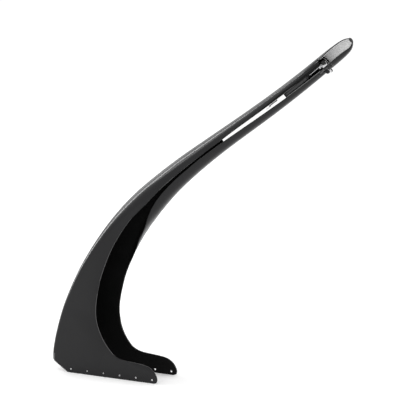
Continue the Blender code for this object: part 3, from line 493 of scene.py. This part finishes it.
finishes = {
    "outside": composite_outside(),
    "inside": composite_inside_painted_shade(),
    "edge": composite_edge_painted_highlight(),
    "steel": bright_metal("polished_steel", (0.66, 0.66, 0.67), 0.18, (0.004, 0.0003, 0.0003)),
    "aluminium": bright_metal("satin_aluminium", (0.80, 0.80, 0.81), 0.32, (0.012, 0.0005, 0.0005)),
    "strut": moulded("strut_paint", (0.008, 0.008, 0.009), (0.016, 0.016, 0.017), 0.36, 0.0006, 0.00001),
    "dark": moulded("black_oxide", (0.012, 0.012, 0.013), (0.030, 0.030, 0.032), 0.42, 0.0004, 0.00001, 0.7),
    "rubber": moulded("stop_rubber", (0.008, 0.008, 0.008), (0.020, 0.020, 0.020), 0.8, 0.0004, 0.00004),
    "cap": moulded("cap_plastic", (0.012, 0.012, 0.012), (0.022, 0.022, 0.023), 0.46, 0.0005, 0.00002),
    "lining": moulded("lining_film", (0.66, 0.66, 0.66), (0.76, 0.76, 0.76), 0.38, 0.0005, 0.00001),
    "edging": moulded("edging_film", (0.10, 0.10, 0.10), (0.17, 0.17, 0.17), 0.45, 0.0004, 0.00001),
    "bush": moulded("bush_plastic", (0.62, 0.60, 0.53), (0.76, 0.74, 0.67), 0.5, 0.0004, 0.00001),
}
print("finishes:", sorted(finishes))

# %% [markdown]
# ## The arm's shell
# The working solid has the right shape, but its mesh is loose triangles with knife-sharp lips. A copy is
# welded, its flat triangles are merged, and the long edges of the lips and cheeks get a small round, as a
# trimmed and sanded laminate has. That round catches the light along the slit, and the cut faces get a
# lighter grey that is partly the duller cut laminate and partly a painted highlight for that bright line.

# %% Welded copies of working solids
def welded_copy(node, name):
    """A copy of a CAD piece with its triangles joined up, in a mesh of its own."""
    take(nodes[node])
    bpy.ops.object.duplicate(linked=False)
    made = bpy.context.object
    made.name = made.data.name = name
    for key in list(made.keys()):
        del made[key]
    made.parent = None
    made.data.materials.clear()
    bpy.ops.object.mode_set(mode="EDIT")
    bpy.ops.mesh.select_all(action="SELECT")
    bpy.ops.mesh.remove_doubles(threshold=0.00001)
    bpy.ops.mesh.dissolve_limited(angle_limit=radians(0.6))
    bpy.ops.object.mode_set(mode="OBJECT")
    return made


def corner_angles(obj):
    """For each edge, how sharply its two faces turn, in degrees."""
    faces = {}
    for face in obj.data.polygons:
        for key in face.edge_keys:
            faces.setdefault(key, []).append(face.normal)
    turns = []
    for edge in obj.data.edges:
        pair = faces.get(tuple(sorted(edge.vertices)), [])
        turns.append(degrees(pair[0].angle(pair[1])) if len(pair) == 2 else 0.0)
    return turns


def round_edges(obj, width, sharper_than=40, longer_than=0.0, segments=2):
    """Rounds the sharp edges of a piece, leaving out any too short to hold the round."""
    turns = corner_angles(obj)
    points = obj.data.vertices

    def wanted(edge):
        a, b = edge.vertices
        return turns[edge.index] > sharper_than and (points[a].co - points[b].co).length > longer_than

    pick(obj, "EDGE", wanted)
    bpy.ops.mesh.bevel(offset=width, segments=segments, profile=0.5, clamp_overlap=False)
    close_edit()


def stand_for(obj, node, finish):
    """Gives a piece its finish, lets it ride with its body and shows it in place of the CAD piece."""
    if finish:
        obj.data.materials.append(finishes[finish])
    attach(obj, nodes[node]["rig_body"])
    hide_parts(node)
    return obj


# %% Arm shell
ARM_CENTRES = [(0.16, 0.0), (0.06, 0.08), (0.045, 0.17), (0.09, 0.30), (0.17, 0.42), (0.29, 0.545),
               (0.46, 0.68), (0.75, 0.922), (0.84, 1.0)]


WALL_LIMIT = 0.0042


def faces_inwards(face):
    """True for a face on the inside of the shell: its normal looks at the arm's centre line."""
    best = None
    for (x0, z0), (x1, z1) in zip(ARM_CENTRES, ARM_CENTRES[1:]):
        start, run = Vector((x0, 0, z0)), Vector((x1 - x0, 0, z1 - z0))
        share = min(max((face.center - start).dot(run) / run.length_squared, 0), 1)
        nearest = start + run * share
        gap = (face.center - nearest).length
        if best is None or gap < best[0]:
            best = (gap, nearest)
    return face.normal.dot((best[1] - face.center).normalized()) > 0.3


def box_mapped(obj, size=1.0):
    """Gives a piece a UV map in metres, laid on from six sides."""
    pick(obj, "FACE", lambda face: True)
    bpy.ops.uv.cube_project(cube_size=size)
    close_edit()


def cut_faces(obj):
    """The narrow faces between two sharp edges, where the laminate was trimmed or drilled."""
    turns = corner_angles(obj)
    lengths = {edge.key: (obj.data.vertices[edge.key[0]].co - obj.data.vertices[edge.key[1]].co).length
               for edge in obj.data.edges}
    sharp = {edge.key for edge in obj.data.edges if turns[edge.index] > 50}
    found = set()
    for face in obj.data.polygons:
        borders = sum(key in sharp for key in face.edge_keys)
        if borders >= 2 and face.area / max(lengths[key] for key in face.edge_keys) < WALL_LIMIT:
            found.add(face.index)
    return found


def keep_inside_box(obj):
    """Brings back the few points that an edge round pushed past the working model's own limits."""
    low, high = cad_box
    for point in obj.data.vertices:
        point.co = [min(max(point.co[k], low[k]), high[k]) for k in range(3)]


def laminate(node, name, lip_round, longest_short):
    """A welded shell with rounded lips: lacquered outside, rougher inside painted blacker as shade, and cut
    faces in a lighter grey that is partly painted highlight.
    """
    made = welded_copy(node, name)
    for finish in ("outside", "inside", "edge"):
        made.data.materials.append(finishes[finish])
    # Inside faces take the finish whose blacker colour is painted shade. Cut faces take the lighter grey that
    # is partly a painted highlight.
    cut = cut_faces(made)
    for face in made.data.polygons:
        face.material_index = 2 if face.index in cut else int(faces_inwards(face))
    round_edges(made, lip_round, sharper_than=50, longer_than=longest_short)
    keep_inside_box(made)
    box_mapped(made)
    smooth(made, 38)
    return stand_for(made, node, None)


arm = laminate("arm_shell", "arm_skin", 0.0007, 0.004)
tip = laminate("tip_shell", "tip_skin", 0.0006, 0.003)
print("arm skin faces:", len(arm.data.polygons), "tip skin faces:", len(tip.data.polygons))

# %% [markdown]
# ## Small plain pieces
# The liner, the edging, the hinge blocks and the rings keep their working shape. Each is welded, its
# edges are broken by a fine round as after machining or moulding, and it gets its metal or plastic.

# %% Machined and moulded pieces
PLAIN = [
    ("tip_liner", "tip_lining", "lining", 0.0003),
    ("lip_trim", "slit_edging", "edging", 0.0002),
    ("arm_hinge_block", "arm_end_fitting", "dark", 0.0003),
    ("tip_hinge_block", "tip_root_fitting", "aluminium", 0.0003),
    ("strut_saddle", "strut_cradle", "dark", 0.0004),
    ("hinge_washer_near", "washer_near", "steel", 0.0001),
    ("hinge_washer_far", "washer_far", "steel", 0.0001),
    ("hinge_bush", "plain_bush", "bush", 0.0002),
    ("rod_end", "rod_eye", "steel", 0.0002),
    ("arm_buffer", "arm_stop", "rubber", 0.0005),
    ("tip_end_cap", "tip_beak", "cap", 0.0003),
]
for node, name, finish, width in PLAIN:
    piece = welded_copy(node, name)
    round_edges(piece, width, sharper_than=50, longer_than=width * 3)
    smooth(piece)
    stand_for(piece, node, finish)
print("plain pieces:", len(PLAIN))

# %% [markdown]
# ## Turned hardware
# The screws, bolt, nut, strut and rivet are all lathe or cold-headed parts, so they are made the same
# way here: a disc is drawn up along its axis row by row, and each row sets the width at that height.
# Steps, chamfers, rolled grooves and threads are only rows in a list. Sockets and bores are cut last.

# %% Drawing up and cutting
HINGE_DEPTH = 0.0248
end_place = Matrix.Translation(hinge + outward * HINGE_DEPTH) @ end_turn


def grown(name, rows, sides=40):
    """A solid about z from (height, radius) rows: a disc drawn up and widened row by row."""
    height, radius = rows[0]
    bpy.ops.mesh.primitive_circle_add(vertices=sides, radius=radius, fill_type="NGON",
                                      location=(0, 0, height))
    piece = bpy.context.object
    piece.name = piece.data.name = name
    bpy.ops.object.transform_apply(location=True, rotation=False, scale=False)
    bpy.ops.object.mode_set(mode="EDIT")
    bpy.ops.mesh.select_all(action="SELECT")
    for (low, before), (high, after) in zip(rows, rows[1:]):
        bpy.ops.mesh.extrude_region_move(TRANSFORM_OT_translate={"value": (0, 0, high - low)})
        share = after / before
        bpy.ops.transform.resize(value=(share, share, 1), center_override=(0, 0, high))
    bpy.ops.mesh.select_all(action="SELECT")
    bpy.ops.mesh.normals_make_consistent(inside=False)
    close_edit()
    return piece


def cut(piece, cutter):
    """Takes a cutter's shape out of a piece, and removes the cutter."""
    apply_modifier(piece, "BOOLEAN", operation="DIFFERENCE", solver="EXACT", object=cutter)
    bpy.data.objects.remove(cutter)


def bar(sides, radius, low, high):
    """A cutter about z: six sides for a key socket, many for a bore."""
    bpy.ops.mesh.primitive_cylinder_add(vertices=sides, radius=radius, depth=high - low,
                                        location=(0, 0, (low + high) / 2))
    return bpy.context.object


def hand_in(piece, node, finish, point, axis, edge=0.0001):
    """Breaks a piece's edges, lays its z along an axis of the end frame, and shows it for its CAD piece."""
    if edge:
        round_edges(piece, edge, sharper_than=35, longer_than=edge * 3)
    turn = Vector((0, 0, 1)).rotation_difference(Vector(axis)).to_matrix().to_4x4()
    settle(piece, end_place @ Matrix.Translation(point) @ turn)
    smooth(piece)
    return stand_for(piece, node, finish)


# %% [markdown]
# ## Screws
# Four low button-head screws hold the two hinge blocks, one on each side below the arm and the tip. A
# six-sided key socket sits in each head.

# %% Button-head screws
SCREW_SEAT = 0.0233
SCREW_LEAN = radians(38)
SCREWS = [("arm_screw_near", -0.022, -1, 0.0066), ("arm_screw_far", -0.022, 1, 0.0066),
          ("tip_screw_near", 0.022, -1, 0.0058), ("tip_screw_far", 0.022, 1, 0.0058)]
for node, x, side, shank in SCREWS:
    axis = Vector((0, side * sin(SCREW_LEAN), -cos(SCREW_LEAN)))
    rows = [(-shank, 0.0017), (-shank + 0.0003, 0.0020), (0, 0.0020), (0, 0.0035), (0.0005, 0.0035),
            (0.0010, 0.0030), (0.0014, 0.0022)]
    screw = grown(node.replace("screw", "bolt"), rows, 32)
    cut(screw, bar(6, 0.0013, 0.0006, 0.0020))
    hand_in(screw, node, "dark", Vector((x, 0, 0)) + axis * SCREW_SEAT, axis)
print("screws:", len(SCREWS))

# %% [markdown]
# ## Pivot bolt, nut and rivet
# The bolt's head has a key socket too, and its threaded end stands a little out of the nut. The nut's
# corners are turned off on both faces. The rivet that joins the crank to the rod has a domed head.

# %% Pivot bolt
BOLT_START = -0.0133
THREAD = 0.0004
rows = [(0, 0.0035), (0.0007, 0.0042), (0.003, 0.0042), (0.003, 0.0020), (0.0230, 0.0020)]
for k in range(4):
    rows += [(0.0234 + 2 * k * THREAD, 0.00176), (0.0238 + 2 * k * THREAD, 0.0020)]
rows.append((0.0270, 0.0017))
pivot = grown("pivot_bolt", rows, 32)
cut(pivot, bar(6, 0.0022, -0.001, 0.0014))
hand_in(pivot, "hinge_bolt", "dark", Vector((0, BOLT_START, -HINGE_DEPTH)), across, 0.00008)

# %% Nut
nut = grown("pivot_nut", [(0, 0.0037), (0.0004, 0.0042), (0.0021, 0.0042), (0.0026, 0.0036)], 6)
cut(nut, bar(32, 0.0023, -0.001, 0.004))
hand_in(nut, "hinge_nut", "dark", Vector((0, 0.0103, -HINGE_DEPTH)), across, 0.00008)

# %% Crank rivet
rows = [(0, 0.0010), (0.0002, 0.0020), (0.0006, 0.0028), (0.0012, 0.00306), (0.0012, 0.0018),
        (0.0109, 0.0018), (0.0112, 0.0015)]
rivet = grown("crank_rivet", rows, 32)
hand_in(rivet, "crank_pin", "steel", Vector((-0.009, -0.0140, 0)), across, 0)
print("pivot pieces:", pivot.name, nut.name, rivet.name)

# %% [markdown]
# ## Strut
# The strut is a small closed cylinder. A rolled groove near each end holds its inner parts, the collar
# on its front has two flats for a spanner, and the polished rod slides out through both.

# %% Strut body
STRUT_AXIS_Y = -0.010
ROD_BORE = 0.0023
rows = [(0, 0.0084), (0.0012, 0.0096), (0.0045, 0.0098), (0.0052, 0.0091), (0.0062, 0.0091), (0.0069, 0.0098),
        (0.0700, 0.0098), (0.0708, 0.0091), (0.0720, 0.0091), (0.0728, 0.0098), (0.0818, 0.0097),
        (0.0830, 0.0086)]
cylinder = grown("strut_cylinder", rows, 48)
cut(cylinder, bar(32, ROD_BORE, 0.0550, 0.0850))
hand_in(cylinder, "strut_body", "strut", Vector((-0.143, STRUT_AXIS_Y, 0)), (1, 0, 0), 0)

# %% Collar
COLLAR_FLAT = 0.0082
FLAT_CUTTER = 0.02
rows = [(0.0003, 0.0087), (0.0007, 0.0090), (0.0055, 0.0090), (0.0063, 0.0083), (0.0063, 0.0058),
        (0.0080, 0.0056), (0.0090, 0.0044)]
collar = grown("strut_collar", rows, 48)
for side in (-1, 1):
    centre = (side * (COLLAR_FLAT + FLAT_CUTTER / 2), 0, 0.0115)
    bpy.ops.mesh.primitive_cube_add(size=FLAT_CUTTER, location=centre)
    cut(collar, bpy.context.object)
cut(collar, bar(32, ROD_BORE, -0.001, 0.011))
hand_in(collar, "strut_gland", "dark", Vector((-0.060, STRUT_AXIS_Y, 0)), (1, 0, 0))

# %% Rod
rows = [(0, 0.0017), (0.0003, 0.0020), (0.0715, 0.0020), (0.0718, 0.0017)]
rod = grown("strut_piston_rod", rows, 32)
hand_in(rod, "strut_rod", "steel", Vector((-0.087, STRUT_AXIS_Y, 0)), (1, 0, 0), 0)
print("strut pieces:", cylinder.name, collar.name, rod.name)

# %% [markdown]
# ## Ribbed stop
# The rubber stop on the crank is a moulded block with two grooves round it, so that it can squash.

# %% Stop on the crank
low, high = (v + Vector((0, 0, -HINGE_DEPTH)) for v in end_size("tip_buffer"))
size = high - low
rows = [(0, 0.90), (0.07, 1.0), (0.30, 1.0), (0.34, 0.90), (0.41, 0.90), (0.45, 1.0), (0.64, 1.0),
        (0.68, 0.90), (0.75, 0.90), (0.79, 1.0), (0.93, 1.0), (1.0, 0.90)]
stop = grown("tip_stop", [(height * size.z, radius * size.x / 2**0.5) for height, radius in rows], 4)
square = Matrix.Diagonal((1, size.y / size.x, 1, 1)) @ Matrix.Rotation(pi / 4, 4, "Z")
stop.data.transform(square)
foot = Vector(((low.x + high.x) / 2, (low.y + high.y) / 2, low.z))
hand_in(stop, "tip_buffer", "rubber", foot, (0, 0, 1), 0.0003)
print("ribbed stop, mm:", [round(v * 1000, 1) for v in size])

# %% [markdown]
# ## Label strip
# A white film lies in the lower stretch of the slit. Its few dark marks, near its upper end, are plain
# bars: one long and four short. They follow the strip, so the script first fits a line through that
# stretch of it.

# %% Label marks
MARK_START, MARK_END = -0.212, -0.168
MARK_WIDTH = 0.0030
near_marks = []
for corner in nodes["label_strip"].data.vertices:
    place = hinge_frame.inverted() @ corner.co
    if MARK_START - 0.02 < place.x < MARK_END + 0.02:
        near_marks.append(place)
middle = sum(near_marks, Vector()) / len(near_marks)
lean = atan(sum((p.x - middle.x) * (p.z - middle.z) for p in near_marks)
            / sum((p.x - middle.x) ** 2 for p in near_marks))
on_line = Matrix.Translation((middle.x, 0, middle.z)) @ Matrix.Rotation(-lean, 4, "Y")
mark_frame = hinge_frame @ on_line @ Matrix.Translation((-middle.x, 0, 0))


def within(tree, socket, low, high):
    """1 where a value lies between two limits, else 0."""
    above = maths(tree, "GREATER_THAN", socket, low)
    below = maths(tree, "LESS_THAN", socket, high)
    return maths(tree, "MULTIPLY", above, below)


# %% Label
def label_finish():
    made, tree, shader = surface("white_film", (0.90, 0.90, 0.90), 0.42)
    fine = use(tree, grain, Size=0.0004)
    bump(tree, shader, fine.outputs["Height"], 0.00001, 0.4)
    where = add(tree, "ShaderNodeTexCoord")
    turn = add(tree, "ShaderNodeMapping", vector_type="TEXTURE")
    turn.inputs["Location"].default_value = mark_frame.to_translation()
    turn.inputs["Rotation"].default_value = mark_frame.to_euler()
    tree.links.new(where.outputs["Object"], turn.inputs["Vector"])
    split = add(tree, "ShaderNodeSeparateXYZ")
    tree.links.new(turn.outputs[0], split.inputs[0])
    x, z = split.outputs["X"], split.outputs["Z"]
    bars = maths(tree, "MULTIPLY", within(tree, x, MARK_START + 0.012, MARK_END),
                 within(tree, z, -MARK_WIDTH / 2, MARK_WIDTH / 2))
    row = within(tree, z, -MARK_WIDTH, -MARK_WIDTH * 0.4)
    for k in range(4):
        start = MARK_START + k * 0.0045
        short = maths(tree, "MULTIPLY", within(tree, x, start, start + 0.0028), row)
        bars = maths(tree, "MAXIMUM", bars, short)
    tint(tree, shader, bars, (0.90, 0.90, 0.90), (0.06, 0.06, 0.06))
    return made


finishes["label"] = label_finish()
label = welded_copy("label_strip", "white_strip")
round_edges(label, 0.0003, sharper_than=50, longer_than=0.001)
smooth(label)
stand_for(label, "label_strip", "label")
